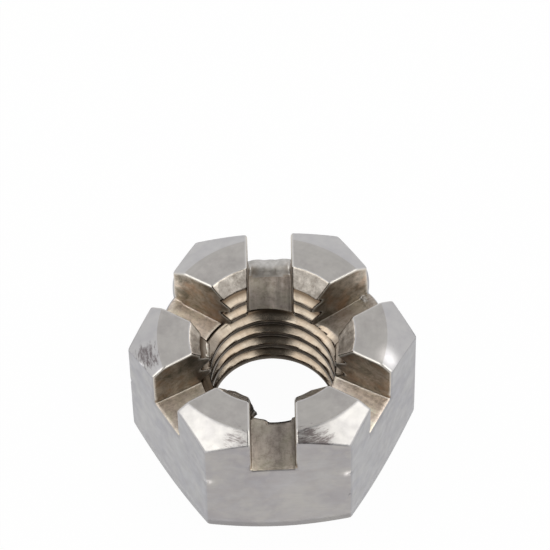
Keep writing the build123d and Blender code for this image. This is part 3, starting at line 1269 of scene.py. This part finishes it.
# %% The fitted camera
SENSOR_WIDTH = 36
IMAGE_WIDTH = 550
FOCAL_PIXELS = 4219.15
TILT, ROLL, YAW = 0.988108, -0.022201, 0.026864
AHEAD = Vector((-0.190644, -4.277534, 285.705409))
PIVOT = Vector((0, 0, 11.156))
right = Vector((1, 0, 0))
forward = Vector((0, math.cos(TILT), -math.sin(TILT)))
up = Vector((0, math.sin(TILT), math.cos(TILT)))
rolled_right = math.cos(ROLL) * right + math.sin(ROLL) * up
rolled_up = -math.sin(ROLL) * right + math.cos(ROLL) * up
rows = Matrix((rolled_right, rolled_up, forward))
turn = Matrix.Rotation(YAW, 3, "Z")
# It sees a point p at rows (turn p - PIVOT) + AHEAD, and stands where that is zero
stand = turn.inverted() @ (rows.inverted() @ -AHEAD + PIVOT)
axes = rows @ turn
towards = Matrix((axes[0], axes[1], -axes[2])).transposed().to_quaternion()
camera = bpy.data.cameras.new("camera")
camera.lens = SENSOR_WIDTH * FOCAL_PIXELS / IMAGE_WIDTH
camera.sensor_width = SENSOR_WIDTH
eye = bpy.data.objects.new("camera", camera)
bpy.context.scene.collection.objects.link(eye)
eye.matrix_world = Matrix.LocRotScale(stand * MM, towards, None)
bpy.context.scene.camera = eye
print("camera at", [round(x, 5) for x in eye.location], "lens", round(camera.lens, 1), "mm")

# %% [markdown]
# ## The paper floor
# The nut stands on white paper that fades into a white background. More light would bleach the
# metal too, so the paper glows only for rays from the camera and in the metal's reflections. It
# keeps a trace of the nut's shadow. In the metal's reflections a shadow under the nut and in the
# hole, where little light gets in, is painted: the paper's glow and grey fall towards the axis.

# %% The paper floor
PAPER_HALF = 1.0
PAPER_GREY = rgb(0.9, 0.9, 0.9)
SEEN_WHITE, MIRRORED_WHITE = 0.97, 0.88
# How far from the axis the mirrored paper begins to glow and glows fully, and how grey it is: a
# painted shadow under the nut
GLOW_FROM, GLOW_FULL = 2.2 * MM, 7.5 * MM
GREY_FROM, GREY_TO = 1.0 * MM, 4.0 * MM
DARKEST, LIGHTEST = 0.15, 0.9
sheet = [(-PAPER_HALF, -PAPER_HALF, 0), (PAPER_HALF, -PAPER_HALF, 0),
         (PAPER_HALF, PAPER_HALF, 0), (-PAPER_HALF, PAPER_HALF, 0)]
floor_mesh = bpy.data.meshes.new("floor")
floor_mesh.from_pydata(sheet, [], [(0, 1, 2, 3)])
ground = bpy.data.objects.new("floor", floor_mesh)
bpy.context.scene.collection.objects.link(ground)
paper = bpy.data.materials.new("paper")
paper.use_nodes = True
tree = paper.node_tree
tree.nodes.remove(tree.nodes["Principled BSDF"])
seen = node(tree, "ShaderNodeLightPath", {}, "Is Camera Ray")
mirrored = node(tree, "ShaderNodeLightPath", {}, "Is Glossy Ray")
on_paper = node(tree, "ShaderNodeTexCoord", {}, "Object")
from_axis = node(tree, "ShaderNodeVectorMath", {0: on_paper}, "Value", operation="LENGTH")
beyond_hole = remap(tree, from_axis, GLOW_FROM, GLOW_FULL, 0.0, MIRRORED_WHITE)
in_metal = times(tree, mirrored, beyond_hole)
shown = sums(tree, "MAXIMUM", times(tree, seen, SEEN_WHITE), in_metal)
painted_nut_shadow = remap(tree, from_axis, GREY_FROM, GREY_TO, DARKEST, LIGHTEST)
matt = node(tree, "ShaderNodeBsdfDiffuse", {"Color": blend(tree, mirrored, PAPER_GREY, painted_nut_shadow)})
white = node(tree, "ShaderNodeEmission", {"Color": rgb(1, 1, 1), "Strength": 1.0})
both = node(tree, "ShaderNodeMixShader", {0: shown, 1: matt, 2: white})
feed(tree, both, tree.nodes["Material Output"].inputs["Surface"])
floor_mesh.materials.append(paper)
print("paper", 2 * PAPER_HALF, "m wide")

# %% [markdown]
# ## The light
# The reflections are those of a pale tent: a soft box high up in front on either side, and a
# darker gap between them, where the camera looks in. Lamps would have to be large to be so soft,
# and large lamps make noise. Here the world itself is the tent, and its strength depends on the
# direction of a ray. The boxes and the gap are there for reflections only, which is all that metal
# shows of them.


# %% The light tent
def smooth(tree, value, low, high):
    """Rises from 0 at low to 1 at high, flat at both ends."""
    return remap(tree, value, low, high, interpolation_type="SMOOTHSTEP")


TENT, BOX, GAP = 0.97, 1.45, 0.87
BOX_COLOUR = rgb(1, 0.985, 0.93)
# Where soft edges begin and end, in the parts of a ray's direction to the right, back and up
GAP_ASIDE, GAP_EDGE, BOXES_END = 0.055, (0.25, 0.33), (0.9, 0.75)
IN_FRONT = (0.15, -0.05)
BOXES_UP, GAP_UP = (0.42, 0.6), (-0.05, 0.15)
world = bpy.data.worlds.new("world")
bpy.context.scene.world = world
world.use_nodes = True
tree = world.node_tree
split = tree.nodes.new("ShaderNodeSeparateXYZ")
feed(tree, node(tree, "ShaderNodeTexCoord", {}, "Generated"), split.inputs[0])
to_right, to_back, upwards = split.outputs
aside = sums(tree, "ABSOLUTE", sums(tree, "SUBTRACT", to_right, GAP_ASIDE))
in_front = smooth(tree, to_back, *IN_FRONT)
boxes_there = times(tree, in_front, smooth(tree, upwards, *BOXES_UP))
gap_there = times(tree, in_front, smooth(tree, upwards, *GAP_UP))
beside_gap = smooth(tree, aside, *GAP_EDGE)
box = times(tree, times(tree, beside_gap, smooth(tree, aside, *BOXES_END)), BOX)
gap = times(tree, sums(tree, "SUBTRACT", 1.0, beside_gap), -GAP)
extra = sums(tree, "ADD", times(tree, box, boxes_there), times(tree, gap, gap_there))
glossy = node(tree, "ShaderNodeLightPath", {}, "Is Glossy Ray")
camera_ray = node(tree, "ShaderNodeLightPath", {}, "Is Camera Ray")
strength = sums(tree, "ADD", TENT, times(tree, extra, glossy))
background = tree.nodes["Background"]
feed(tree, sums(tree, "MAXIMUM", strength, camera_ray), background.inputs["Strength"])
feed(tree, blend(tree, boxes_there, rgb(1, 1, 1), BOX_COLOUR), background.inputs["Color"])
bpy.context.scene.view_settings.view_transform = "Standard"
print("the tent's strength is", TENT, "and its boxes add", BOX)

# %% [markdown]
# The finished nut may not be larger than the CAD model.
